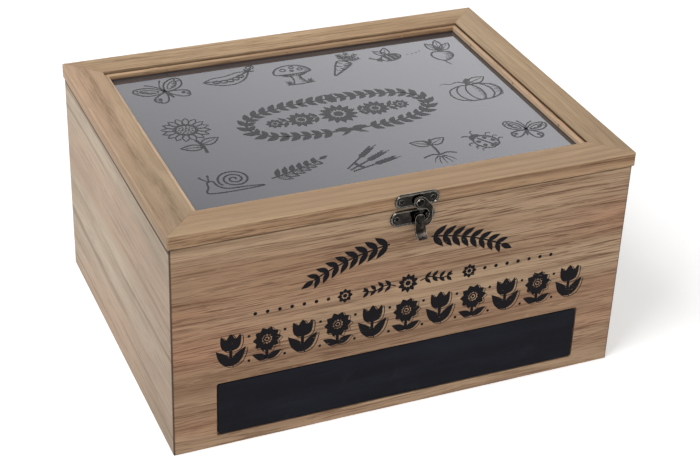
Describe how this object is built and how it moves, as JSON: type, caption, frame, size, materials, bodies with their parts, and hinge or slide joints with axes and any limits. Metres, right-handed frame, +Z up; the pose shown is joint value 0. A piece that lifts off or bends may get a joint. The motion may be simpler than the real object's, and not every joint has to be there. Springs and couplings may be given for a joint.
{
  "type": "seed organizer box",
  "caption": "Wooden storage box for seed packets with a hinged glass lid in a mitred frame, a swing-hook latch, inner dividers and a chalkboard plate.",
  "frame": {"origin": "middle of the underside, between the wall panels", "axes": "+X to the right along the front, +Y to the hinged back, +Z up"},
  "size_m": [0.282, 0.2297, 0.1458],
  "materials": {
    "wall_wood": "satin",
    "bottom_wood": "satin",
    "divider_wood": "satin",
    "lid_wood": "satin",
    "bead_wood": "satin",
    "smoked_glass": "gloss",
    "chalkboard": "matt",
    "nail_steel": "satin",
    "hinge_metal": "aged satin",
    "aged_metal": "aged gloss"
  },
  "bodies": {
    "box": {"front_panel": "wall_wood", "back_panel": "wall_wood", "left_panel": "wall_wood", "right_panel": "wall_wood", "bottom_panel": "bottom_wood", "bottom_nails": "nail_steel", "long_divider": "divider_wood", "left_cross_divider": "divider_wood", "right_cross_divider": "divider_wood", "chalkboard_plate": "chalkboard", "left_hinge_body_leaf": "hinge_metal", "right_hinge_body_leaf": "hinge_metal", "left_hinge_pin": "hinge_metal", "right_hinge_pin": "hinge_metal", "body_hinge_screws": "hinge_metal", "keeper_plate": "aged_metal", "keeper_post": "aged_metal", "keeper_nails": "aged_metal"},
    "lid": {"lid_front_rail": "lid_wood", "lid_back_rail": "lid_wood", "lid_left_stile": "lid_wood", "lid_right_stile": "lid_wood", "glass_pane": "smoked_glass", "front_glazing_bead": "bead_wood", "back_glazing_bead": "bead_wood", "left_glazing_bead": "bead_wood", "right_glazing_bead": "bead_wood", "glazing_brads": "nail_steel", "left_hinge_lid_leaf": "hinge_metal", "right_hinge_lid_leaf": "hinge_metal", "lid_hinge_screws": "hinge_metal", "latch_plate": "aged_metal", "latch_rivet": "aged_metal", "latch_nails": "aged_metal"},
    "hook": {"swing_hook": "aged_metal"}
  },
  "joints": [
    {"name": "lid_hinge", "type": "hinge", "parent": "box", "child": "lid", "pos_m": [0, 0.1113, 0.13665], "axis": [-1, 0, 0], "range_deg": [0, 180]},
    {"name": "hook_pivot", "type": "hinge", "parent": "lid", "child": "hook", "pos_m": [0.0028, -0.11, 0.1401], "axis": [0, -1, 0], "range_deg": [0, 180]}
  ]
}
